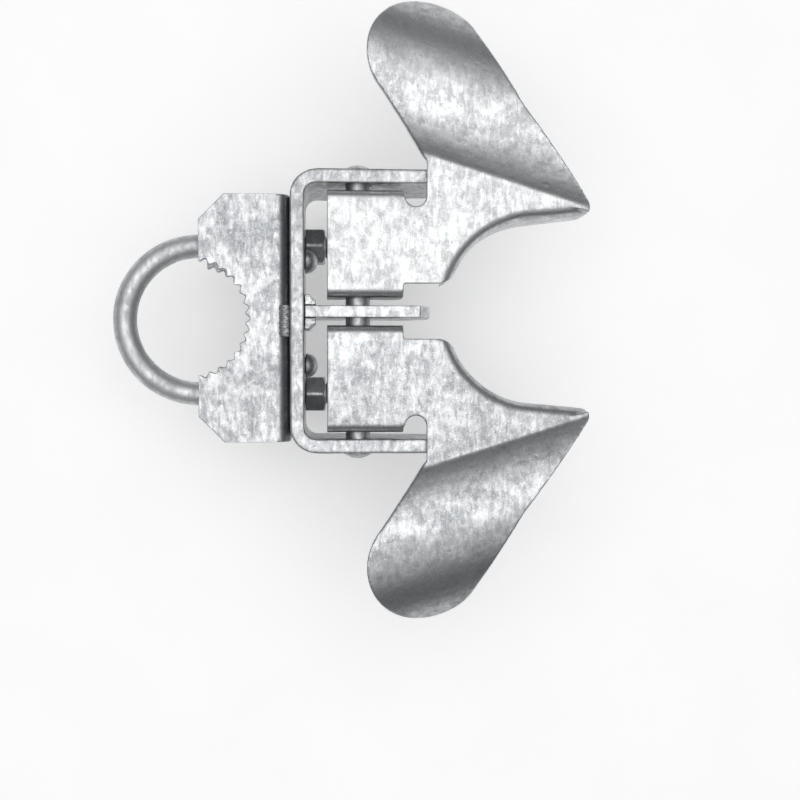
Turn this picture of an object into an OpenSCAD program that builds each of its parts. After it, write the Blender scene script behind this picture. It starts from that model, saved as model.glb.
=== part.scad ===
// Butterfly gate latch: a gravity latch with two flip-up wings for round chain-link gate frames.
// The origin is on the axis of the gate frame tube, at half the height of the bracket.
// +X points from the gate frame to the gate post, +Y to the left wing, +Z up in use.

/* [Bracket] */
// Width across the outside of the two arms
bracket_w = 114; // [108:1:120]
// Height of the flat bar at the web
bracket_h = 50; // [48:1:56]
// Height of the arms at their tips
arm_tip_h = 40; // [34:1:46]
// Thickness of the flat bar
bar_t = 6; // [5:0.5:7]
// Outer radius of the two bends
bracket_bend_r = 11; // [9:0.5:12]
// Distance from the gate frame axis to the inner face of the web
web_face_x = 44.5; // [44.5:0.5:48]
// Reach of the arms beyond the inner face of the web
arm_reach = 52.5; // [50:0.5:56]
// Sideways offset of the bracket from the middle of the saddle
bracket_shift = 2.4; // [0:0.2:3]

/* [Centre plate] */
// Thickness of the centre plate
centre_t = 5; // [4:0.5:5]
// Height of the centre plate
centre_h = 31; // [28:1:36]
// Reach of the centre plate beyond the inner face of the web
centre_reach = 51; // [44:0.5:53]
// Size of the bevel on the top front corner of the centre plate
centre_bevel = 4.5; // [2:0.5:6]
// Width of the weld fillets beside the centre plate
weld_leg = 4.6; // [3:0.2:5]

/* [Pivot pin] */
// Diameter of the pivot pin
pin_d = 10; // [9:0.5:10]
// Distance from the inner face of the web to the pin axis
pin_reach = 21.5; // [21.5:0.5:23]
// Depth of the pin axis below the top of the arms
pin_drop = 8.4; // [8:0.2:9]
// Diameter of the peened heads of the pin
pin_head_d = 12.4; // [12:0.2:14]
// Height of the peened heads of the pin
pin_head_h = 2.4; // [1.5:0.1:2.6]

/* [Saddle] */
// Width of the saddle along Y
saddle_w = 101; // [96:1:104]
// Height of the saddle
saddle_h = 40; // [38:1:42]
// Sheet thickness of the saddle
saddle_t = 4; // [3:0.5:4]
// Depth of the saddle from its toothed edge to its back
saddle_depth = 37; // [36:0.5:38]
// Outer bend radius of the saddle
saddle_bend_r = 5.5; // [5:0.5:6]
// Size of the chamfers on the front corners of the saddle
saddle_chamfer = 10.5; // [6:0.5:12]
// Radius to the points of the saddle teeth
teeth_r = 23.3; // [22:0.1:24]
// Distance of the centre of the teeth behind the gate frame axis
teeth_back = 3; // [0:0.5:4]
// Depth of the saddle teeth
tooth_depth = 2; // [1:0.2:2.4]
// Number of notches in each toothed edge
tooth_count = 15; // [9:2:15]

/* [Fasteners] */
// Diameter of the U-bolt bar
bolt_d = 10; // [9:0.5:10]
// Distance between the legs of the U-bolt
bolt_pitch = 62; // [60:0.5:62]
// Height of the U-bolt
bolt_z = -5; // [-6:0.5:-5]
// Length of the U-bolt legs past the inner face of the web
bolt_past_web = 12.3; // [10:0.1:12.5]
// Width across the flats of the nuts
nut_af = 14.3; // [13:0.1:14.3]
// Thickness of the nuts
nut_h = 8.4; // [6:0.1:8.4]
// Spacing of the two saddle rivets
rivet_pitch = 43; // [42:0.5:43]
// Height of the saddle rivets
rivet_z = 5.5; // [5.4:0.1:5.5]
// Diameter of the rivet shanks
rivet_d = 7; // [6:0.5:7.5]
// Diameter of the rivet heads
rivet_head_d = 10.4; // [9:0.2:10.4]
// Height of the rivet heads
rivet_head_h = 5.5; // [4:0.1:5.6]

/* [Wings] */
// Sheet thickness of the wings
wing_t = 3; // [2.5:0.1:3]
// Gap between the resting wings and the top of the arms
rest_gap = 0.2; // [0.1:0.05:0.4]
// Distance from the bracket's middle plane to the inner face of a hub
hub_in = 5.4; // [5:0.1:6]
// Distance from the bracket's middle plane to the outer face of a hub
hub_out = 48.4; // [46:0.1:49]
// Distance from the pin axis to the rear edge of a hub
hub_back = 12.6; // [12:0.1:12.8]
// Distance from the pin axis to the front end of the hub flanges
hub_front = 18; // [16:0.5:20]
// Depth of the hub flanges
hub_depth = 20; // [18:0.5:22]
// Outer bend radius of the hub flanges
hub_bend_r = 4; // [3.5:0.5:5]
// Radial clearance of the wings on the pin
pin_clearance = 0.1; // [0.05:0.05:0.3]
// Radius of the relief notch behind the wide plate
notch_r = 4.2; // [3:0.1:5]
// Distance from the gate frame axis to the left edge of the wide plate
plate_x = 93; // [92:0.5:94]
// Distance from the middle plane to the inner edge of the wide plate
plate_in = 10.9; // [9:0.1:12]
// Distance from the middle plane to the start of the fold line
fold_start_y = 60.8; // [59:0.2:63]
// Distance from the middle plane to the end of the fold line
fold_end_y = 40.6; // [40:0.2:43]
// Slope of the paddle at the fold
fold_slope = 35; // [25:1:38]
// Radius of the arched paddle on its upper face
arch_r = 44; // [42:1:60]
// Inner radius of the valley bend at the fold
valley_r = 3; // [2:0.5:5]
// Width of the paddle's round end
paddle_w = 46.4; // [44:0.2:48]
// Direction of the paddle's inner edge, from the X axis
paddle_angle = 124.8; // [123:0.2:126]
// X position of the centre of the paddle's round end
lobe_x = 92; // [90:0.1:93]
// Distance from the middle plane to the centre of the paddle's round end
lobe_y = 101.2; // [100:0.2:103]
// X position of the bend in the paddle's outer edge
outer_bend_x = 130.8; // [129:0.1:132]
// Distance from the middle plane to the bend in the paddle's outer edge
outer_bend_y = 80.2; // [79:0.1:81]
// Slope of the outer edge from the bend to the nose
nose_edge_slope = 52.9; // [52:0.1:54]

/* [Post jaws] */
// Radius of the jaw faces that hold the gate post
jaw_r = 37; // [36:0.1:38]
// Distance from the gate frame axis to the gate post axis
post_x = 138.5; // [137:0.5:140]
// Depth of the jaw flange from the top of the plate
jaw_depth = 28; // [20:1:30]
// Depth of the jaw flange at the nose
nose_depth = 16; // [12:1:20]
// Outer bend radius of the jaw flange
jaw_bend_r = 5; // [4:0.5:6]
// Outward slope of the straight tail of the jaw
tail_slope = 5; // [3:0.5:6]
// Distance from the gate frame axis to the end of the nose
nose_x = 159; // [158:0.2:160]
// Radius of the rounded corner where the jaw starts
jaw_corner_r = 8; // [6:0.5:9]

/* [Hidden] */
$fn = 64;
zinc_light = [0.80, 0.81, 0.82];
zinc_mid = [0.70, 0.71, 0.73];
zinc_dark = [0.58, 0.59, 0.61];

web_x = web_face_x - bar_t;
arm_tip_x = web_face_x + arm_reach;
bracket_top = bracket_h / 2;
pin_x = web_face_x + pin_reach;
pin_z = bracket_top - pin_drop;
saddle_top = bolt_z + saddle_h / 2;
saddle_bottom = bolt_z - saddle_h / 2;
saddle_x = web_x - saddle_depth;
arm_taper_start = 8;
rivet_clear = 0.1;
bolt_hole_d = bolt_d + 1;
bolt_end_x = web_face_x + bolt_past_web;
thread_chamfer = 1.2;

plate_bottom = bracket_top + rest_gap;
plate_top = plate_bottom + wing_t;
fold_dx = nose_x - 1 - plate_x;
fold_angle = atan2(fold_end_y - fold_start_y, fold_dx);
jaw_start_angle = 90 + tail_slope;
jaw_sweep = 78;
tail_start_x = post_x - jaw_r * sin(tail_slope);
tail_start_y = jaw_r * cos(tail_slope);
wing_reach = 200;
plate_root_x = plate_x - 12;
notch_y = hub_out - hub_bend_r + 1.5;
fold_overlap = 0.6;
plate_cut_r = jaw_r + jaw_bend_r + 0.5;
plate_tail_cut = plate_cut_r - 0.1;
arch_start = -70;
arch_l = 160;
strip_l = 130;
arch_cz = plate_top + valley_r - (valley_r + arch_r) * cos(fold_slope);
arch_cs = (valley_r + arch_r) * sin(fold_slope);
arch_end_slope = 56;

// A plain cylinder along Y, centred on the origin
module rod_y(d, l) {
    rotate([90, 0, 0])
        cylinder(d = d, h = l, center = true);
}

// A plain cylinder along X, from x0 to x1
module rod_x(d, x0, x1) {
    translate([x0, 0, 0])
        rotate([0, 90, 0])
            cylinder(d = d, h = x1 - x0);
}

// Half the outline of a domed head, for rotate_extrude; its flat face is at y = 0
module dome_outline(d, h) {
    sphere_r = (d * d / 4 + h * h) / (2 * h);
    intersection() {
        translate([0, h - sphere_r])
            circle(r = sphere_r);
        square([d / 2, h + 1]);
    }
}

// ---- bracket ----

// One arm of the bracket with its bend; side is 1 for the left arm
module bracket_arm(side) {
    arm_y = side > 0 ? bracket_w / 2 - bar_t : -bracket_w / 2;
    bend_y = side * (bracket_w / 2 - bracket_bend_r);
    bend_x = web_x + bracket_bend_r;
    translate([bend_x, arm_y, -bracket_h / 2])
        cube([arm_tip_x - bend_x, bar_t, bracket_h]);
    translate([bend_x, bend_y, -bracket_h / 2])
        rotate([0, 0, side > 0 ? 90 : 180])
            rotate_extrude(angle = 90)
                translate([bracket_bend_r - bar_t, 0])
                    square([bar_t, bracket_h]);
}

// The wedge that is cut from below both arms
module arm_taper() {
    taper_x = web_face_x + arm_taper_start;
    rotate([90, 0, 0])
        translate([0, 0, -bracket_w])
            linear_extrude(2 * bracket_w)
                polygon([
                    [taper_x, -bracket_h / 2],
                    [arm_tip_x + 1, bracket_top - arm_tip_h],
                    [arm_tip_x + 1, -bracket_h],
                    [taper_x, -bracket_h]
                ]);
}

// The holes in the web for the U-bolt and the rivets, as cylinders along X
module web_holes() {
    for (side = [-1, 1]) {
        translate([0, side * bolt_pitch / 2, bolt_z])
            rod_x(bolt_hole_d, saddle_x, web_face_x + 1);
        translate([0, bracket_shift + side * rivet_pitch / 2, rivet_z])
            rod_x(rivet_d + 2 * rivet_clear, saddle_x, web_face_x + 1);
    }
}

module bracket() {
    web_w = bracket_w - 2 * bracket_bend_r;
    color(zinc_light)
        difference() {
            translate([0, bracket_shift, 0])
                union() {
                    translate([web_x, -web_w / 2, -bracket_h / 2])
                        cube([bar_t, web_w, bracket_h]);
                    bracket_arm(1);
                    bracket_arm(-1);
                }
            arm_taper();
            web_holes();
            translate([pin_x, bracket_shift, pin_z])
                rod_y(pin_d + 2 * rivet_clear, bracket_w + 2);
        }
}

// ---- centre plate and its welds ----

module centre_plate() {
    tip_x = web_face_x + centre_reach;
    bottom = bracket_top - centre_h;
    color(zinc_light)
        difference() {
            translate([0, bracket_shift + centre_t / 2, 0])
                rotate([90, 0, 0])
                    linear_extrude(centre_t)
                        polygon([
                            [web_face_x, bracket_top],
                            [tip_x - centre_bevel, bracket_top],
                            [tip_x, bracket_top - 2 * centre_bevel],
                            [tip_x, bottom + 2 * centre_bevel],
                            [tip_x - 2 * centre_bevel, bottom],
                            [web_face_x, bottom]
                        ]);
            translate([pin_x, bracket_shift, pin_z])
                rod_y(pin_d + 2 * rivet_clear, centre_t + 2);
        }
}

// A hollow-faced weld fillet down one side of the centre plate
module centre_weld(side) {
    weld_top_gap = 1;
    weld_bottom_gap = 2;
    weld_bottom = bracket_top - centre_h + weld_bottom_gap;
    hollow_at = 1.6 * weld_leg;
    hollow_r = 1.32 * weld_leg;
    color(zinc_mid)
        translate([web_face_x, bracket_shift + side * centre_t / 2, weld_bottom])
            mirror([0, side > 0 ? 0 : 1, 0])
                linear_extrude(centre_h - weld_top_gap - weld_bottom_gap)
                    difference() {
                        square([weld_leg, weld_leg]);
                        translate([hollow_at, hollow_at])
                            circle(r = hollow_r);
                    }
}

module centre_weld_left() {
    centre_weld(1);
}

module centre_weld_right() {
    centre_weld(-1);
}

// ---- saddle ----

// The outline of a toothed flange of the saddle, seen from above
module saddle_outline() {
    back_x = web_x - saddle_bend_r;
    half_w = saddle_w / 2;
    tooth_spread = 156;
    tooth_step = tooth_spread / tooth_count;
    notch_half_w = 1.7;
    difference() {
        polygon([
            [saddle_x + saddle_chamfer, -half_w],
            [back_x, -half_w],
            [back_x, half_w],
            [saddle_x + saddle_chamfer, half_w],
            [saddle_x, half_w - saddle_chamfer],
            [saddle_x, saddle_chamfer - half_w]
        ]);
        translate([-teeth_back, 0])
            circle(r = teeth_r);
        for (i = [0 : tooth_count - 1])
            translate([-teeth_back, 0])
                rotate((i - (tooth_count - 1) / 2) * tooth_step)
                    translate([teeth_r, 0])
                        polygon([
                            [-tooth_depth, -notch_half_w],
                            [0, -notch_half_w],
                            [tooth_depth, 0],
                            [0, notch_half_w],
                            [-tooth_depth, notch_half_w]
                        ]);
    }
}

// The bend between a flange and the web of the saddle; side is 1 at the top
module saddle_bend(side) {
    bend_x = web_x - saddle_bend_r;
    bend_z = side > 0 ? saddle_top - saddle_bend_r : saddle_bottom + saddle_bend_r;
    translate([bend_x, saddle_w / 2, bend_z])
        rotate([90, 0, 0])
            rotate([0, 0, side > 0 ? 0 : -90])
                linear_extrude(saddle_w)
                    intersection() {
                        difference() {
                            circle(r = saddle_bend_r);
                            circle(r = saddle_bend_r - saddle_t);
                        }
                        square(saddle_bend_r + 1);
                    }
}

module saddle() {
    web_h = saddle_h - 2 * saddle_bend_r;
    color(zinc_mid)
        difference() {
            union() {
                translate([0, 0, saddle_top - saddle_t])
                    linear_extrude(saddle_t)
                        saddle_outline();
                translate([0, 0, saddle_bottom])
                    linear_extrude(saddle_t)
                        saddle_outline();
                saddle_bend(1);
                saddle_bend(-1);
                translate([web_x - saddle_t, -saddle_w / 2, bolt_z - web_h / 2])
                    cube([saddle_t, saddle_w, web_h]);
            }
            web_holes_in_saddle();
        }
}

// The same holes as in the bracket, kept clear of the toothed flanges
module web_holes_in_saddle() {
    intersection() {
        web_holes();
        translate([web_x - 2 * saddle_t, -saddle_w / 2, saddle_bottom])
            cube([3 * saddle_t, saddle_w, saddle_h]);
    }
}

// A weld bead in the groove between the saddle's bend and the bracket
module saddle_weld(side) {
    bead_l = 13;
    bead_y = 5.5;
    bead_r = side > 0 ? 3.4 : 2.6;
    bead_inset = side > 0 ? 1.6 : 2.4;
    bead_z = side > 0 ? saddle_top - bead_inset : saddle_bottom + bead_inset;
    bend_z = side > 0 ? saddle_top - saddle_bend_r : saddle_bottom + saddle_bend_r;
    color(zinc_mid)
        translate([0, bead_y, 0])
            rotate([90, 0, 0])
                linear_extrude(bead_l)
                    difference() {
                        translate([web_x - bead_inset, bead_z])
                            circle(r = bead_r);
                        translate([web_x, bead_z - 2 * bead_r])
                            square(4 * bead_r);
                        translate([web_x - saddle_bend_r, bend_z])
                            circle(r = saddle_bend_r);
                        translate([web_x - saddle_bend_r - 4 * bead_r, saddle_bottom])
                            square([4 * bead_r, saddle_h]);
                        translate([web_x - 4 * bead_r, saddle_bottom + saddle_bend_r])
                            square([4 * bead_r, saddle_h - 2 * saddle_bend_r]);
                    }
}

module saddle_weld_top() {
    saddle_weld(1);
}

module saddle_weld_bottom() {
    saddle_weld(-1);
}

// A rivet through the saddle's web and the bracket's web
module saddle_rivet(side) {
    tail_d = rivet_d + 1;
    tail_h = 2.4;
    grip = saddle_t + bar_t;
    color(zinc_dark)
        translate([web_x - saddle_t, bracket_shift + side * rivet_pitch / 2, rivet_z])
            rotate([0, 90, 0])
                rotate_extrude()
                    union() {
                        square([rivet_d / 2, grip]);
                        translate([0, grip])
                            dome_outline(rivet_head_d, rivet_head_h);
                        mirror([0, 1])
                            dome_outline(tail_d, tail_h);
                    }
}

module saddle_rivet_left() {
    saddle_rivet(1);
}

module saddle_rivet_right() {
    saddle_rivet(-1);
}

// ---- U-bolt and its nuts ----

module u_bolt() {
    color(zinc_mid)
        translate([0, 0, bolt_z])
            union() {
                rotate([0, 0, 90])
                    rotate_extrude(angle = 180)
                        translate([bolt_pitch / 2, 0])
                            circle(d = bolt_d);
                for (side = [-1, 1])
                    translate([0, side * bolt_pitch / 2, 0])
                        union() {
                            rod_x(bolt_d, 0, bolt_end_x - thread_chamfer);
                            translate([bolt_end_x - thread_chamfer, 0, 0])
                                rotate([0, 90, 0])
                                    cylinder(d1 = bolt_d, d2 = bolt_d - 2 * thread_chamfer,
                                        h = thread_chamfer);
                        }
            }
}

// A hexagon nut against the web, with its outer corners chamfered
module u_bolt_nut(side) {
    corner_d = nut_af / cos(30);
    face_d = 0.97 * nut_af;
    color(zinc_dark)
        translate([web_face_x, side * bolt_pitch / 2, bolt_z])
            rotate([0, 90, 0])
                difference() {
                    intersection() {
                        cylinder(d = corner_d, h = nut_h, $fn = 6);
                        cylinder(d1 = corner_d + 2 * nut_h, d2 = face_d, h = nut_h);
                    }
                    translate([0, 0, -1])
                        cylinder(d = bolt_d + 2 * rivet_clear, h = nut_h + 2);
                }
}

module u_bolt_nut_left() {
    u_bolt_nut(1);
}

module u_bolt_nut_right() {
    u_bolt_nut(-1);
}

// ---- pivot pin ----

module pivot_pin() {
    color(zinc_dark)
        translate([pin_x, bracket_shift, pin_z])
            rotate([90, 0, 0])
                rotate_extrude()
                    union() {
                        translate([0, -bracket_w / 2])
                            square([pin_d / 2, bracket_w]);
                        for (turn = [0, 1])
                            mirror([0, turn])
                                translate([0, bracket_w / 2])
                                    dome_outline(pin_head_d, pin_head_h);
                    }
}

// ---- wings; each module draws the left wing with its middle plane at y = 0 ----

// The round end of the paddle, seen from above
module paddle_lobe() {
    translate([lobe_x, lobe_y])
        circle(d = paddle_w);
}

// The stretch of the paddle from its round end to the nose, seen from above
module paddle_strip() {
    inner = paddle_angle + 90;
    outer = 28;
    along = paddle_angle + 180;
    bite = 0.15;
    side = paddle_w / 2 - bite;
    nose_run = 48;
    translate([lobe_x, lobe_y])
        polygon([
            [0, 0],
            side * [cos(inner), sin(inner)],
            side * [cos(inner), sin(inner)] + strip_l * [cos(along), sin(along)],
            [outer_bend_x - lobe_x, outer_bend_y - lobe_y]
                + nose_run * [cos(nose_edge_slope), -sin(nose_edge_slope)],
            [outer_bend_x - lobe_x, outer_bend_y - lobe_y],
            side * [cos(outer), sin(outer)]
        ]);
}

// The outline of the wide plate and the jaw, seen from above, before the post is cut away
module wide_outline() {
    difference() {
        polygon([
            [plate_root_x, plate_in],
            [post_x, plate_in],
            [nose_x, tail_start_y],
            [nose_x, fold_end_y],
            [plate_x, fold_start_y],
            [plate_x, hub_out],
            [plate_root_x, hub_out - hub_bend_r]
        ]);
        jaw_corner_cut();
        translate([nose_x, 0])
            square([wing_reach, wing_reach]);
        nose_cut();
        notch_cut();
    }
}

// The side of the fold line that belongs to the paddle
module fold_half_plane() {
    translate([plate_x, fold_start_y])
        rotate(fold_angle)
            translate([-wing_reach / 2, 0])
                square([wing_reach, wing_reach]);
}

// The space beside the straight tail of the jaw
module tail_cut() {
    translate([tail_start_x, tail_start_y])
        rotate(tail_slope)
            translate([0, -wing_reach])
                square([wing_reach, wing_reach]);
}

// Rounds the corner between the plate's inner edge and the jaw
module jaw_corner_cut() {
    corner_y = plate_in + jaw_corner_r;
    corner_x = post_x - sqrt(pow(jaw_r + jaw_corner_r, 2) - pow(corner_y, 2));
    touch_x = post_x - jaw_r / (jaw_r + jaw_corner_r) * (post_x - corner_x);
    touch_y = jaw_r / (jaw_r + jaw_corner_r) * corner_y;
    difference() {
        polygon([
            [corner_x, 0],
            [post_x, 0],
            [touch_x, touch_y],
            [corner_x, corner_y]
        ]);
        translate([corner_x, corner_y])
            circle(r = jaw_corner_r);
    }
}

// Rounds the nose, from the tail of the jaw to the outer edge of the paddle
module nose_cut() {
    nose_r = 3;
    far = 4 * nose_r;
    edge_normal = 90 - nose_edge_slope;
    centre_x = nose_x - nose_r;
    centre_y = tail_start_y + tan(tail_slope) * (centre_x - tail_start_x) + nose_r / cos(tail_slope);
    difference() {
        translate([centre_x, centre_y])
            polygon([
                [0, 0],
                [0, -far],
                [far, -far],
                [far, 0],
                far * [cos(edge_normal), sin(edge_normal)]
            ]);
        translate([centre_x, centre_y])
            circle(r = nose_r);
    }
}

// The round-bottomed relief notch beside the hub
module notch_cut() {
    translate([plate_x - notch_r, notch_y])
        circle(r = notch_r);
    translate([plate_x - 2 * notch_r, notch_y])
        square([2 * notch_r, wing_reach]);
}

// The wide plate between the hub, the fold and the bend of the jaw
module wide_plate() {
    translate([0, 0, plate_bottom])
        linear_extrude(wing_t)
            difference() {
                wide_outline();
                fold_half_plane();
                translate([post_x, 0])
                    circle(r = plate_cut_r);
                translate([post_x, 0])
                    rotate(tail_slope)
                        square([wing_reach, plate_tail_cut]);
            }
}

// A section through the jaw flange: x is the distance outward from the jaw face
module jaw_section(depth) {
    straight = depth - jaw_bend_r;
    translate([0, plate_top - depth])
        square([wing_t, straight]);
    translate([jaw_bend_r, plate_bottom])
        square([2 * (plate_cut_r - jaw_r - jaw_bend_r), wing_t]);
    translate([jaw_bend_r, plate_top - jaw_bend_r])
        intersection() {
            difference() {
                circle(r = jaw_bend_r);
                circle(r = jaw_bend_r - wing_t);
            }
            translate([-2 * jaw_bend_r, 0])
                square([2 * jaw_bend_r, 2 * jaw_bend_r]);
        }
}

// The curved flange that bears on the post, and its straight tail
module jaw_flange() {
    intersection() {
        translate([post_x, 0, 0])
            rotate([0, 0, jaw_start_angle])
                union() {
                    rotate_extrude(angle = jaw_sweep)
                        translate([jaw_r, 0])
                            jaw_section(jaw_depth);
                    rotate([90, 0, 0])
                        linear_extrude(nose_x - post_x + 2 * jaw_bend_r)
                            translate([jaw_r, 0])
                                jaw_section(jaw_depth);
                }
        jaw_trim();
    }
}

// Trims the jaw flange to the outline of the plate and slopes its lower edge to the nose
module jaw_trim() {
    intersection() {
        translate([0, 0, plate_top - 2 * jaw_depth])
            linear_extrude(4 * jaw_depth)
                wide_outline();
        rotate([90, 0, 0])
            translate([0, 0, -wing_reach])
                linear_extrude(2 * wing_reach)
                    polygon([
                        [plate_x - 10, plate_top - jaw_depth],
                        [post_x - 10, plate_top - jaw_depth],
                        [nose_x, plate_top - nose_depth],
                        [nose_x + 10, plate_top - nose_depth],
                        [nose_x + 10, plate_top + 10],
                        [plate_x - 10, plate_top + 10]
                    ]);
    }
}

// A section across the fold: x is the distance outward from the fold line
module arch_section() {
    translate([-fold_overlap, plate_bottom])
        square([fold_overlap, wing_t]);
    intersection() {
        translate([0, plate_top + valley_r])
            difference() {
                circle(r = valley_r + wing_t);
                circle(r = valley_r);
            }
        polygon([
            [0, plate_top + valley_r],
            [0, plate_bottom - 1],
            [wing_reach * sin(fold_slope), plate_top + valley_r - wing_reach * cos(fold_slope)]
        ]);
    }
    intersection() {
        translate([arch_cs, arch_cz])
            difference() {
                circle(r = arch_r, $fn = 128);
                circle(r = arch_r - wing_t, $fn = 128);
            }
        polygon([
            [arch_cs, arch_cz],
            [arch_cs - wing_reach * sin(fold_slope), arch_cz + wing_reach * cos(fold_slope)],
            [arch_cs, arch_cz + wing_reach],
            [arch_cs + wing_reach * sin(arch_end_slope), arch_cz + wing_reach * cos(arch_end_slope)]
        ]);
    }
}

// The arched sheet that the paddle is cut from
module arch_sheet() {
    translate([plate_x, fold_start_y, 0])
        rotate([0, 0, fold_angle])
            translate([arch_start, 0, 0])
                rotate([90, 0, 90])
                    linear_extrude(arch_l)
                        arch_section();
}

// The arched paddle, trimmed to its tongue; the two stretches are trimmed apart
module paddle() {
    trim_h = plate_top + arch_r;
    difference() {
        union() {
            intersection() {
                arch_sheet();
                linear_extrude(trim_h)
                    paddle_strip();
            }
            intersection() {
                arch_sheet();
                linear_extrude(trim_h)
                    paddle_lobe();
            }
        }
        linear_extrude(trim_h)
            translate([nose_x, 0])
                square([wing_reach, wing_reach]);
        linear_extrude(trim_h)
            nose_cut();
        linear_extrude(trim_h)
            tail_cut();
    }
}

// The channel-shaped hub with its two drilled flanges
module hub() {
    hub_x0 = pin_x - hub_back;
    flange_l = hub_back + hub_front;
    flat_y0 = hub_in + hub_bend_r;
    flat_w = hub_out - hub_in - 2 * hub_bend_r;
    translate([hub_x0, flat_y0, plate_bottom])
        cube([flange_l, flat_w, wing_t]);
    difference() {
        translate([hub_x0, 0, 0])
            rotate([90, 0, 90])
                linear_extrude(flange_l)
                    union() {
                        translate([hub_in, 0])
                            hub_section();
                        translate([hub_out, 0])
                            mirror([1, 0])
                                hub_section();
                    }
        translate([pin_x, (hub_in + hub_out) / 2, pin_z])
            rod_y(pin_d + 2 * pin_clearance, hub_out - hub_in + 2);
        hub_corner_cut();
    }
}

// A section through one hub flange: x is the distance inward from its outer face
module hub_section() {
    translate([0, plate_top - hub_depth])
        square([wing_t, hub_depth - hub_bend_r]);
    translate([hub_bend_r, plate_top - hub_bend_r])
        intersection() {
            difference() {
                circle(r = hub_bend_r);
                circle(r = hub_bend_r - wing_t);
            }
            translate([-2 * hub_bend_r, 0])
                square([2 * hub_bend_r, 2 * hub_bend_r]);
        }
}

// Rounds the lower front corners of both hub flanges
module hub_corner_cut() {
    corner_r = 6;
    corner_x = pin_x + hub_front - corner_r;
    corner_z = plate_top - hub_depth + corner_r;
    rotate([90, 0, 0])
        translate([0, 0, -wing_reach])
            linear_extrude(2 * wing_reach)
                difference() {
                    translate([corner_x, corner_z - 2 * corner_r])
                        square([2 * corner_r, 2 * corner_r]);
                    translate([corner_x, corner_z])
                        circle(r = corner_r);
                }
}

module wing() {
    union() {
        hub();
        wide_plate();
        jaw_flange();
        paddle();
    }
}

module wing_left() {
    color(zinc_light)
        translate([0, bracket_shift, 0])
            wing();
}

module wing_right() {
    color(zinc_light)
        translate([0, bracket_shift, 0])
            mirror([0, 1, 0])
                wing();
}

bracket();
centre_plate();
centre_weld_left();
centre_weld_right();
saddle();
saddle_weld_top();
saddle_weld_bottom();
saddle_rivet_left();
saddle_rivet_right();
u_bolt();
u_bolt_nut_left();
u_bolt_nut_right();
pivot_pin();
wing_left();
wing_right();
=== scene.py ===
"""Butterfly gate latch: hot-dip galvanised looks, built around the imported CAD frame."""

import itertools
import math

import bmesh
import bpy
import numpy as np
from mathutils import Matrix, Vector


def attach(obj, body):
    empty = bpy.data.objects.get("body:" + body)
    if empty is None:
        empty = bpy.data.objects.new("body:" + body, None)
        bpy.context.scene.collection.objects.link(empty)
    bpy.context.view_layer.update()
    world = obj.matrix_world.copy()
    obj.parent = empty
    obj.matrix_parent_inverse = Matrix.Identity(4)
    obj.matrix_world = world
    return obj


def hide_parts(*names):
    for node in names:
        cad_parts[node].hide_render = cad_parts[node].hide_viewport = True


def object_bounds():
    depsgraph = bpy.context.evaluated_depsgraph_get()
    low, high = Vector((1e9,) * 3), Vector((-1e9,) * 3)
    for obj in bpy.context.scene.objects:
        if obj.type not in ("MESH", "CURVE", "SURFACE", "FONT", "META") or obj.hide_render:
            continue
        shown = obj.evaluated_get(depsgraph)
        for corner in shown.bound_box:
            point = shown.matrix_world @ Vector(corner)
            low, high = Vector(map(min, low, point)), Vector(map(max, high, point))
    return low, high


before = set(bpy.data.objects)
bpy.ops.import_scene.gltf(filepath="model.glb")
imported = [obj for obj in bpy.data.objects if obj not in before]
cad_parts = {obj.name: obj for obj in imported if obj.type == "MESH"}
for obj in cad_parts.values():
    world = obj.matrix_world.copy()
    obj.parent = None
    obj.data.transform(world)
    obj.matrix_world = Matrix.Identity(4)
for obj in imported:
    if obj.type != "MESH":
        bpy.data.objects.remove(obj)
cad_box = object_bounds()

MM = 0.001
ROOT = "root"

# places that the CAD part fixes, in millimetres
WEB_FACE_X = 44.5
BOLT_END_X = 56.8
BOLT_RADIUS = 5.0
BOLT_PITCH = 62.0
BOLT_Z = -5.0
PIN_X = 66.0
PIN_Z = 16.6
PIN_RADIUS = 5.0
PIN_HALF_LENGTH = 57.0
BORE_RADIUS = 5.1
RIVET_OFFSET = 21.5
RIVET_Z = 5.5
MIDDLE_Y = 2.4

THREAD_PITCH = 1.5875  # 16 turns to the inch


# ---- noise, for the shape of the zinc coat ----

LATTICE_PRIMES = (73856093, 19349663, 83492791)
SEED_PRIME = 6971
HASH_STEPS = ((13, 1274126177), (16, 668265263))


def value_noise(points, size, seed):
    """Smooth noise from 0 to 1 at points, both in millimetres, made from hashed lattice values."""
    scaled = points / size
    cell = np.floor(scaled).astype(np.int64)
    part = scaled - cell
    part = part * part * (3 - 2 * part)
    total = np.zeros(len(points))
    for corner in itertools.product((0, 1), repeat=3):
        at = cell + np.array(corner)
        key = seed * SEED_PRIME
        for place, prime in enumerate(LATTICE_PRIMES):
            key = key ^ at[:, place] * prime
        for shift, factor in HASH_STEPS:
            key = (key ^ (key >> shift)) * factor & 0xFFFFFFFF
        value = ((key >> 8) & 0xFFFF) / 65535
        weight = np.prod(np.where(corner, part, 1 - part), axis=1)
        total += value * weight
    return total


def coat_depth(points, lump, grain, seed):
    """How far below the CAD surface the zinc coat lies, in millimetres."""
    broad = value_noise(points, 9.0, seed)
    middle = value_noise(points, 3.6, seed + 1)
    fine = value_noise(points, 1.5, seed + 2)
    pit_start, pit_span = 0.78, 0.22
    pits = np.clip(value_noise(points, 2.2, seed + 3) - pit_start, 0, 1) / pit_span
    return lump * (0.65 * broad + 0.35 * middle) + grain * (0.6 * fine + 0.9 * pits)


# ---- meshes ----

def link(name, mesh):
    """A new object for a mesh, in the scene."""
    piece = bpy.data.objects.new(name, mesh)
    bpy.context.scene.collection.objects.link(piece)
    return piece


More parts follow.
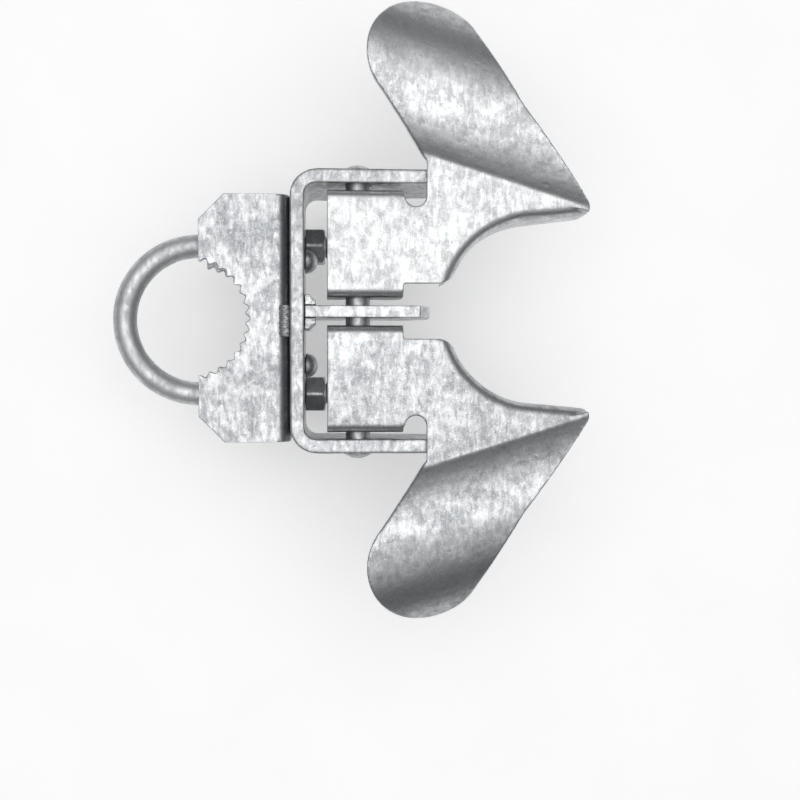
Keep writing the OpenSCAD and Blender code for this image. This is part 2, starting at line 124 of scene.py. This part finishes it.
def read_points(mesh):
    """A mesh's vertices as an array, in millimetres."""
    flat = np.empty(len(mesh.vertices) * 3)
    mesh.vertices.foreach_get("co", flat)
    return flat.reshape(-1, 3) / MM


def write_points(mesh, points):
    """Puts an array of points, in millimetres, back into a mesh."""
    mesh.vertices.foreach_set("co", (points * MM).astype(np.float32).ravel())
    mesh.update()


def read_normals(mesh):
    """A mesh's vertex normals as an array."""
    flat = np.empty(len(mesh.vertices) * 3, np.float32)
    mesh.vertex_normals.foreach_get("vector", flat)
    return flat.reshape(-1, 3).astype(float)


def apply_modifiers(piece):
    """Turns the piece's modifiers into its own mesh."""
    graph = bpy.context.evaluated_depsgraph_get()
    baked = bpy.data.meshes.new_from_object(piece.evaluated_get(graph))
    old = piece.data
    piece.modifiers.clear()
    piece.data = baked
    bpy.data.meshes.remove(old)


def skin(node, voxel, soften, lump, grain, seed, ripple=None):
    """A piece with a CAD node's shape, with soft edges and the uneven surface of a zinc coat."""
    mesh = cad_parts[node].data.copy()
    mesh.materials.clear()
    welded = bmesh.new()
    welded.from_mesh(mesh)
    bmesh.ops.remove_doubles(welded, verts=welded.verts, dist=0.0001 * MM)
    welded.to_mesh(mesh)
    welded.free()
    piece = link(node + "_zinc", mesh)
    remesh = piece.modifiers.new("even mesh", "REMESH")
    remesh.mode = "VOXEL"
    remesh.voxel_size = voxel * MM
    remesh.use_smooth_shade = True
    smooth = piece.modifiers.new("soft edges", "SMOOTH")
    smooth.factor = 0.5
    smooth.iterations = soften
    apply_modifiers(piece)
    points = read_points(piece.data)
    depth = coat_depth(points, lump, grain, seed)
    if ripple:
        depth = depth + ripple(points)
    points = points - read_normals(piece.data) * depth[:, None]
    write_points(piece.data, points)
    return piece


def scallops(axis, pitch, height):
    """Ripples of a weld bead along one axis, for skin."""
    wander, wander_size, wander_seed = 0.8, 2.0, 77

    def depth(points):
        wandered = value_noise(points, wander_size, wander_seed) * wander
        turn = (points[:, axis] / pitch + wandered) % 1.0
        return height * (2 * turn - 1) ** 2
    return depth


def keep_bores_open(piece):
    """Holds the wing's two bores clear of the pivot pin after the coat has been made uneven."""
    spare, never_zero = 0.05, 1e-6
    points = read_points(piece.data)
    radial = points[:, [0, 2]] - np.array([PIN_X, PIN_Z])
    distance = np.linalg.norm(radial, axis=1)
    wanted = BORE_RADIUS + spare
    close = (distance < wanted) & (distance > 1.0)
    push = np.where(close, wanted / np.maximum(distance, never_zero), 1.0)
    points[:, [0, 2]] = np.array([PIN_X, PIN_Z]) + radial * push[:, None]
    write_points(piece.data, points)


def grid_mesh(name, rings, closed_profile):
    """A mesh from rings of points: each ring closes on itself, and rings join in order.

    rings is an array (number of rings, points in a ring, 3), in millimetres. With closed_profile
    the last ring joins the first one, and otherwise each end is closed by a face.
    """
    count, around, _ = rings.shape
    faces = []
    last = count if closed_profile else count - 1
    for i in range(last):
        low, high = i * around, (i + 1) % count * around
        for j in range(around):
            k = (j + 1) % around
            faces.append((low + j, low + k, high + k, high + j))
    if not closed_profile:
        faces.append(tuple(range(around))[::-1])
        faces.append(tuple((count - 1) * around + j for j in range(around)))
    mesh = bpy.data.meshes.new(name)
    mesh.from_pydata([tuple(p) for p in rings.reshape(-1, 3) * MM], [], faces)
    tidy = bmesh.new()
    tidy.from_mesh(mesh)
    bmesh.ops.remove_doubles(tidy, verts=tidy.verts, dist=0.002 * MM)
    bmesh.ops.recalc_face_normals(tidy, faces=tidy.faces)
    tidy.to_mesh(mesh)
    tidy.free()
    mesh.shade_smooth()
    return link(name, mesh)


def turned(name, profile, centre, axis, up, around, closed_profile=False, shape=None):
    """A turned piece: profile is a list of (along, radius), and shape may change the radii."""
    axis, up = Vector(axis), Vector(up)
    side = axis.cross(up)
    angles = np.arange(around) * 2 * math.pi / around
    rings = []
    for along, radius in profile:
        radii = np.full(around, float(radius))
        if shape is not None:
            radii = shape(angles, along, radii)
        ring = [
            Vector(centre) + axis * along + (up * math.cos(a) + side * math.sin(a)) * r
            for a, r in zip(angles, radii)
        ]
        rings.append(ring)
    return grid_mesh(name, np.array(rings), closed_profile)


def uneven(piece, lump, grain, seed):
    """Makes the surface of a turned or swept piece uneven, inwards only."""
    points = read_points(piece.data)
    depth = coat_depth(points, lump, grain, seed)
    write_points(piece.data, points - read_normals(piece.data) * depth[:, None])


def dome(radius, height, steps, start_along, direction):
    """Points (along, radius) of a domed head, from its flat face to its tip."""
    ball = (radius * radius + height * height) / (2 * height)
    reach = math.asin(min(1.0, radius / ball))
    if height >= ball:
        reach = math.pi - reach
    points = []
    for i in range(steps + 1):
        angle = reach * (1 - i / steps)
        along = height - ball + ball * math.cos(angle)
        points.append((start_along + direction * along, ball * math.sin(angle)))
    return points


# ---- the separate pieces ----

def thread_depth(along, angles, pitch, depth):
    """Depth of a screw thread's groove at a place along the bolt and at angles around it."""
    steepness, crest = 1.35, 0.15
    turn = (along / pitch - angles / (2 * math.pi)) % 1.0
    return depth * np.clip(steepness * np.abs(2 * turn - 1) - crest, 0, 1)


def bar_stations():
    """Places along the U-bolt: (centre, sideways direction, distance from the nearer end)."""
    half = BOLT_PITCH / 2
    fine, coarse, thread_end = 0.2, 1.3, 27.0
    lengths = list(np.arange(0, thread_end, fine))
    lengths += list(np.arange(thread_end, BOLT_END_X, coarse))
    leg = [((BOLT_END_X - s, half), (0, 1), s) for s in lengths]
    arc_steps = 76
    arc = []
    for i in range(arc_steps + 1):
        angle = math.pi / 2 + math.pi * i / arc_steps
        direction = (math.cos(angle), math.sin(angle))
        arc.append(((half * direction[0], half * direction[1]), direction, BOLT_END_X))
    other = [((x, -y), (0, -1), s) for (x, y), _, s in reversed(leg)]
    return leg + arc + other


def make_u_bolt():
    """The bent round bar with rolled threads on both legs."""
    around, chamfer = 44, 1.2
    thread_length, run_out, groove = 25.5, 2.0, 0.85
    angles = np.arange(around) * 2 * math.pi / around
    rings = []
    for (x, y), (dx, dy), from_end in bar_stations():
        radii = np.full(around, BOLT_RADIUS)
        thread_share = np.clip((thread_length - from_end) / run_out, 0, 1)
        if thread_share > 0:
            radii = radii - thread_share * thread_depth(from_end, angles, THREAD_PITCH, groove)
        if from_end < chamfer:
            radii = np.minimum(radii, BOLT_RADIUS - chamfer + from_end)
        flat = radii * np.cos(angles)
        ring = np.stack([x + dx * flat, y + dy * flat, BOLT_Z + radii * np.sin(angles)], axis=1)
        rings.append(ring)
    piece = grid_mesh("u_bolt_bar", np.array(rings), closed_profile=False)
    uneven(piece, lump=0.14, grain=0.05, seed=31)
    return piece


def make_nut(name, side):
    """A hexagon nut with a chamfered outer face and a threaded bore."""
    flats, height = 14.3, 8.4
    corner = flats / math.cos(math.radians(30))
    face_radius = 0.97 * flats / 2
    rise = (corner / 2 + height - face_radius) / height

    def hexagon(angles, along, radii):
        if radii[0] < face_radius - 0.6:
            groove = 0.5 if radii[0] < BORE_RADIUS + 0.2 else 0.0
            return radii + thread_depth(along, angles, THREAD_PITCH, groove)
        turn = (angles % (math.pi / 3)) - math.pi / 6
        hex_radius = flats / 2 / np.cos(turn)
        hex_radius = np.minimum(hex_radius, corner / 2 - 0.25)
        cone = face_radius + (height - along) * rise
        foot = corner / 2 + 0.2 + along * 1.5 - 0.9
        low = np.minimum(np.minimum(hex_radius, cone), foot)
        return low - (radii[0] - corner / 2)

    outer = [(0.0, corner / 2 + 0.35), (0.12, corner / 2 + 0.1)]
    outer += [(h, corner / 2) for h in np.linspace(0.3, height - 0.1, 26)]
    outer += [(height, corner / 2 + 0.12)]
    face = [(height, r) for r in (6.2, 5.9, 5.6)]
    bore = [(h, BORE_RADIUS) for h in np.linspace(height - 0.3, 0.0, 40)]
    foot = [(0.0, 5.7), (0.0, 6.2)]
    profile = outer + face + bore + foot
    centre = (WEB_FACE_X, side * BOLT_PITCH / 2, BOLT_Z)
    piece = turned(name, profile, centre, (1, 0, 0), (0, 0, 1), 96, True, hexagon)
    uneven(piece, lump=0.10, grain=0.04, seed=40 + side)
    return piece


def make_rivet(name, side):
    """A domed rivet through the saddle and the bracket, its head a little out of true."""
    back, grip, shank = 34.5, 10.0, 3.5
    tail_radius, tail_height = 4.0, 2.4
    head_radius, head_height = 5.15, 5.3
    edge, gap = 0.15, 0.05
    profile = dome(tail_radius, tail_height, 10, 0.0, -1)[::-1]
    profile += [(gap, shank), (grip - gap, shank)]
    profile += [(grip, head_radius - 0.25), (grip + edge, head_radius)]
    profile += dome(head_radius, head_height, 16, grip + edge, 1)[1:]
    centre = (back, MIDDLE_Y + side * RIVET_OFFSET, RIVET_Z)
    piece = turned(name, profile, centre, (1, 0, 0), (0, 0, 1), 56)
    uneven(piece, lump=0.35, grain=0.06, seed=50 + side)
    return piece


def make_pin():
    """The pivot pin with its two peened heads."""
    head_radius, head_height = 6.15, 2.35
    shank_end = PIN_HALF_LENGTH - 0.4
    tip = dome(head_radius, head_height, 10, PIN_HALF_LENGTH, 1)
    shank = [(y, PIN_RADIUS) for y in np.linspace(-shank_end, shank_end, 90)]
    other = [(-along, radius) for along, radius in reversed(tip)]
    centre = (PIN_X, MIDDLE_Y, PIN_Z)
    piece = turned("pivot_pin_peened", other + shank + tip, centre, (0, 1, 0), (0, 0, 1), 48)
    uneven(piece, lump=0.06, grain=0.03, seed=61)
    return piece


# ---- materials ----

class Nodes:
    """Short names for building one material's node tree."""

    def __init__(self, name):
        self.material = bpy.data.materials.new(name)
        self.material.use_nodes = True
        self.tree = self.material.node_tree
        self.shader = self.tree.nodes["Principled BSDF"]
        self.place = self.new("ShaderNodeTexCoord").outputs["Object"]

    def new(self, kind):
        return self.tree.nodes.new(kind)

    def join(self, source, target):
        self.tree.links.new(source, target)

    def moved(self, scale, turn=(0, 0, 0), shift=(0, 0, 0)):
        """Object coordinates, turned, shifted and scaled."""
        mapping = self.new("ShaderNodeMapping")
        mapping.inputs["Scale"].default_value = scale
        mapping.inputs["Rotation"].default_value = turn
        mapping.inputs["Location"].default_value = shift
        self.join(self.place, mapping.inputs["Vector"])
        return mapping.outputs["Vector"]

    def across(self):
        """Distance along the Y axis, where the two wings lie on either side."""
        split = self.new("ShaderNodeSeparateXYZ")
        self.join(self.place, split.inputs["Vector"])
        return split.outputs["Y"]

    def noise(self, size, detail=3.0, rough=0.55, warp=0.0, where=None, shift=0.0):
        """A noise texture with features of a size in millimetres."""
        node = self.new("ShaderNodeTexNoise")
        node.inputs["Scale"].default_value = 1 / (size * MM)
        node.inputs["Detail"].default_value = detail
        node.inputs["Roughness"].default_value = rough
        node.inputs["Distortion"].default_value = warp
        place = where or self.moved((1, 1, 1), shift=(shift * MM, 0, 0))
        self.join(place, node.inputs["Vector"])
        return node.outputs["Fac"]

    def cells(self, size, shift=0.0):
        """A random grey for each zinc crystal of a size in millimetres."""
        node = self.new("ShaderNodeTexVoronoi")
        node.inputs["Scale"].default_value = 1 / (size * MM)
        self.join(self.moved((1, 1, 1), shift=(shift * MM, 0, 0)), node.inputs["Vector"])
        grey = self.new("ShaderNodeSeparateColor")
        self.join(node.outputs["Color"], grey.inputs["Color"])
        return grey.outputs["Red"]

    def ramp(self, value, low, high, bottom=0.0, top=1.0):
        """Maps a value from low..high to bottom..top, smoothly and clamped."""
        node = self.new("ShaderNodeMapRange")
        node.interpolation_type = "SMOOTHSTEP"
        node.inputs["From Min"].default_value = low
        node.inputs["From Max"].default_value = high
        node.inputs["To Min"].default_value = bottom
        node.inputs["To Max"].default_value = top
        self.join(value, node.inputs["Value"])
        return node.outputs["Result"]

    def total(self, layers):
        """The sum of (socket, share) pairs."""
        result = None
        for socket, share in layers:
            part = self.math("MULTIPLY", socket, share)
            result = part if result is None else self.math("ADD", result, part)
        return result

    def math(self, kind, a, b):
        """A maths node on sockets or plain numbers."""
        node = self.new("ShaderNodeMath")
        node.operation = kind
        for socket, value in zip(node.inputs, (a, b)):
            if isinstance(value, (int, float)):
                socket.default_value = value
            else:
                self.join(value, socket)
        return node.outputs["Value"]

    def blend(self, share, first, second):
        """Mixes two colours, given as sockets or as (r, g, b)."""
        node = self.new("ShaderNodeMix")
        node.data_type = "RGBA"
        self.join(share, node.inputs["Factor"])
        for socket, value in ((node.inputs["A"], first), (node.inputs["B"], second)):
            if isinstance(value, tuple):
                socket.default_value = (*value, 1)
            else:
                self.join(value, socket)
        return node.outputs["Result"]


def grey(tone):
    """A neutral grey, faintly blue as zinc is."""
    return tone, tone + 0.01, tone + 0.02


def zinc(name, dull, bright, patch, shift, speckle, rough=(0.29, 0.46), bump=0.25, painted_end_shade=0.0):
    """Hot-dip galvanised steel: a fine mottle with short strokes, bright specks and dark pits.

    dull and bright are the two tones of the zinc, patch is the size of its patches in millimetres
    and shift moves the pattern, so that no two materials match. rough is the roughness of the
    bright and of the dull zinc. The last argument paints shade onto the far ends of the wings.
    """
    n = Nodes(name)
    patches = n.ramp(n.noise(patch, 4, 0.58, 0.5, shift=shift), 0.33, 0.67)
    mottle = n.ramp(n.noise(4.2, 5, 0.62, 0.5, shift=shift + 90), 0.33, 0.67)
    strokes_at = n.moved((1, 0.30, 1), (0, 0, math.radians(52)), (shift * MM, 0, 0))
    strokes = n.ramp(n.noise(1.8, 4, 0.62, 0.7, where=strokes_at), 0.38, 0.66)
    specks = n.ramp(n.noise(0.6, 2, 0.6, shift=shift + 31), 0.53, 0.70)
    pits = n.ramp(n.noise(1.3, 3, 0.6, shift=shift + 57), 0.66, 0.73)
    crystals = n.cells(2.2, shift)

    share = n.total([(patches, 0.27), (mottle, 0.24), (strokes, 0.31), (crystals, 0.18)])
    base = n.blend(share, dull, bright)
    lit = tuple(min(0.97, c * 1.18 + 0.03) for c in bright)
    base = n.blend(n.math("MULTIPLY", specks, speckle), base, lit)
    dark = tuple(c * 0.55 for c in dull)
    base = n.blend(n.math("MULTIPLY", pits, 0.55), base, dark)
    # painted shade: darkens the wings' far ends by distance along Y, in noisy clouds
    if painted_end_shade:
        reach = n.ramp(n.math("ABSOLUTE", n.across(), 0), 74 * MM, 116 * MM)
        cloud = n.ramp(n.noise(16, 5, 0.6, 0.4, shift=shift + 70), 0.36, 0.60, 0.35, 1.0)
        end_shade_share = n.math("MULTIPLY", n.math("MULTIPLY", reach, cloud), painted_end_shade)
        base = n.blend(end_shade_share, base, tuple(c * 0.5 for c in dull))
    n.join(base, n.shader.inputs["Base Color"])

    smooth, matt = rough
    roughness = n.ramp(share, 0.15, 0.85, matt, smooth)
    roughness = n.math("SUBTRACT", roughness, n.math("MULTIPLY", specks, 0.06))
    n.join(roughness, n.shader.inputs["Roughness"])
    n.shader.inputs["Metallic"].default_value = 1.0

    height = n.total([(strokes, 0.45), (specks, 0.25), (crystals, 0.10)])
    height = n.math("SUBTRACT", height, n.math("MULTIPLY", pits, 0.8))
    relief = n.new("ShaderNodeBump")
    relief.inputs["Strength"].default_value = bump
    relief.inputs["Distance"].default_value = 0.12 * MM
    n.join(height, relief.inputs["Height"])
    n.join(relief.outputs["Normal"], n.shader.inputs["Normal"])
    return n.material


def floor_material():
    """Plain pale matt floor with a trace of unevenness and a faint glow that keeps it near white."""
    glow = 0.30
    n = Nodes("pale_floor")
    tone = n.ramp(n.noise(60, 2), 0.3, 0.7)
    n.join(n.blend(tone, (0.93, 0.93, 0.93), (0.95, 0.95, 0.95)), n.shader.inputs["Base Color"])
    n.shader.inputs["Emission Color"].default_value = (1, 1, 1, 1)
    n.shader.inputs["Emission Strength"].default_value = glow
    n.shader.inputs["Roughness"].default_value = 0.9
    return n.material


# ---- light, floor and camera ----

def make_sky():
    """Soft studio light: bright overhead, darker near the horizon, a little more from +Y."""
    y_share = 0.22
    # height above the horizon, and how bright the sky is there
    stops = [(0.0, 0.62), (0.05, 0.24), (0.35, 0.15), (0.62, 0.24), (0.84, 0.92), (1.0, 1.30)]
    world = bpy.data.worlds.new("studio")
    bpy.context.scene.world = world
    world.use_nodes = True
    tree = world.node_tree
    place = tree.nodes.new("ShaderNodeTexCoord")
    split = tree.nodes.new("ShaderNodeSeparateXYZ")
    tree.links.new(place.outputs["Generated"], split.inputs["Vector"])
    ramp = tree.nodes.new("ShaderNodeValToRGB")
    while len(ramp.color_ramp.elements) < len(stops):
        ramp.color_ramp.elements.new(0.5)
    for element, (at, grey) in zip(ramp.color_ramp.elements, stops):
        element.position = at
        element.color = (grey, grey, grey, 1)
    tree.links.new(split.outputs["Z"], ramp.inputs["Fac"])
    tilt = tree.nodes.new("ShaderNodeMath")
    tilt.operation = "MULTIPLY_ADD"
    tilt.inputs[1].default_value = y_share
    tilt.inputs[2].default_value = 1.0
    tree.links.new(split.outputs["Y"], tilt.inputs[0])
    background = tree.nodes["Background"]
    tree.links.new(ramp.outputs["Color"], background.inputs["Color"])
    tree.links.new(tilt.outputs["Value"], background.inputs["Strength"])


def make_lamp(name, place, aim, size, power):
    """A square soft lamp."""
    lamp = bpy.data.lights.new(name, "AREA")
    lamp.shape = "SQUARE"
    lamp.size = size
    lamp.energy = power
    holder = bpy.data.objects.new(name, lamp)
    bpy.context.scene.collection.objects.link(holder)
    holder.location = place
    holder.rotation_euler = (Vector(aim) - Vector(place)).to_track_quat("-Z", "Y").to_euler()


def make_floor():
    """A wide pale floor a little below the part, so that light reaches the bays."""
    half, gap = 3.0, 0.04
    low = cad_box[0][2] - gap
    mesh = bpy.data.meshes.new("floor")
    corners = [(-half, -half, low), (half, -half, low), (half, half, low), (-half, half, low)]
    mesh.from_pydata(corners, [], [(0, 1, 2, 3)])
    floor = link("floor", mesh)
    floor.data.materials.append(floor_material())


def make_camera():
    """Above the latch, looking down and leaning about 4 degrees towards the right wing's nose."""
    place = Vector((52.2, -21.4, 477.0)) * MM
    aim = Vector((82.6, -33.0, 25.0)) * MM
    data = bpy.data.cameras.new("camera")
    data.sensor_width = 36
    data.lens = 50.9
    data.clip_start = 0.01
    camera = bpy.data.objects.new("camera", data)
    bpy.context.scene.collection.objects.link(camera)
    back = (place - aim).normalized()
    right = Vector((0, 1, 0)).cross(back).normalized()
    up = back.cross(right)
    turn = Matrix((right, up, back)).transposed().to_4x4()
    camera.matrix_world = Matrix.Translation(place) @ turn
    bpy.context.scene.camera = camera


# ---- putting it together ----

def dress(piece, body, node, material):
    """Gives a piece its body and its material, and hides the CAD node that it stands for."""
    piece.data.materials.clear()
    piece.data.materials.append(material)
    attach(piece, body)
    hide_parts(node)


BAR = zinc("galvanised_bar", grey(0.25), grey(0.58), patch=9, shift=0, speckle=0.35)
PLATE = zinc("galvanised_plate", grey(0.32), grey(0.68), patch=8, shift=200, speckle=0.35)
SADDLE = zinc("galvanised_saddle", grey(0.25), grey(0.58), patch=10, shift=400, speckle=0.35)
WELD = zinc("galvanised_weld", grey(0.30), grey(0.64), patch=4, shift=600, speckle=0.3,
            rough=(0.34, 0.52), bump=0.45)
BOLT = zinc("galvanised_bolt", grey(0.48), grey(0.74), patch=12, shift=800, speckle=0.25,
            rough=(0.46, 0.62))
FIXING = zinc("galvanised_fixing", grey(0.30), grey(0.60), patch=5, shift=900, speckle=0.3,
              rough=(0.36, 0.54))
# both wings carry painted shade on their far ends, heavier on the right wing, whose zinc is also set
# darker
WING_LEFT = zinc("galvanised_wing_left", grey(0.38), grey(0.66), patch=15, shift=1000,
                 speckle=0.40, painted_end_shade=0.05)
WING_RIGHT = zinc("galvanised_wing_right", grey(0.27), grey(0.58), patch=12, shift=1300,
                  speckle=0.50, painted_end_shade=0.15)

# the bracket, its centre plate and the toothed saddle
bracket = skin("bracket", voxel=0.6, soften=3, lump=0.30, grain=0.08, seed=1)
dress(bracket, ROOT, "bracket", BAR)
centre_plate = skin("centre_plate", voxel=0.4, soften=3, lump=0.22, grain=0.07, seed=5)
dress(centre_plate, ROOT, "centre_plate", PLATE)
saddle = skin("saddle", voxel=0.5, soften=2, lump=0.25, grain=0.08, seed=9)
dress(saddle, ROOT, "saddle", SADDLE)

# the four weld beads, each rippled along its own axis
for node, axis in (("centre_weld_left", 2), ("centre_weld_right", 2),
                   ("saddle_weld_top", 1), ("saddle_weld_bottom", 1)):
    bead = skin(node, voxel=0.22, soften=2, lump=0.2, grain=0.08, seed=13 + len(node),
                ripple=scallops(axis, pitch=1.9, height=0.35))
    dress(bead, ROOT, node, WELD)

# the fasteners and the pivot pin
dress(make_u_bolt(), ROOT, "u_bolt", BOLT)
for name, side in (("left", 1), ("right", -1)):
    nut = make_nut(f"u_bolt_nut_{name}_hex", side)
    dress(nut, ROOT, f"u_bolt_nut_{name}", FIXING)
    rivet = make_rivet(f"saddle_rivet_{name}_dome", side)
    dress(rivet, ROOT, f"saddle_rivet_{name}", FIXING)
dress(make_pin(), ROOT, "pivot_pin", FIXING)

# the two wings, which turn on the pin
for name, material, seed in (("left", WING_LEFT, 21), ("right", WING_RIGHT, 25)):
    wing = skin(f"wing_{name}", voxel=0.5, soften=3, lump=0.22, grain=0.06, seed=seed)
    keep_bores_open(wing)
    dress(wing, f"wing_{name}", f"wing_{name}", material)

make_sky()
make_lamp("overhead", place=(0.06, 0.05, 1.1), aim=(0.08, 0.0, 0.0), size=0.8, power=1.9)
make_floor()
make_camera()
bpy.context.scene.view_settings.view_transform = "Standard"
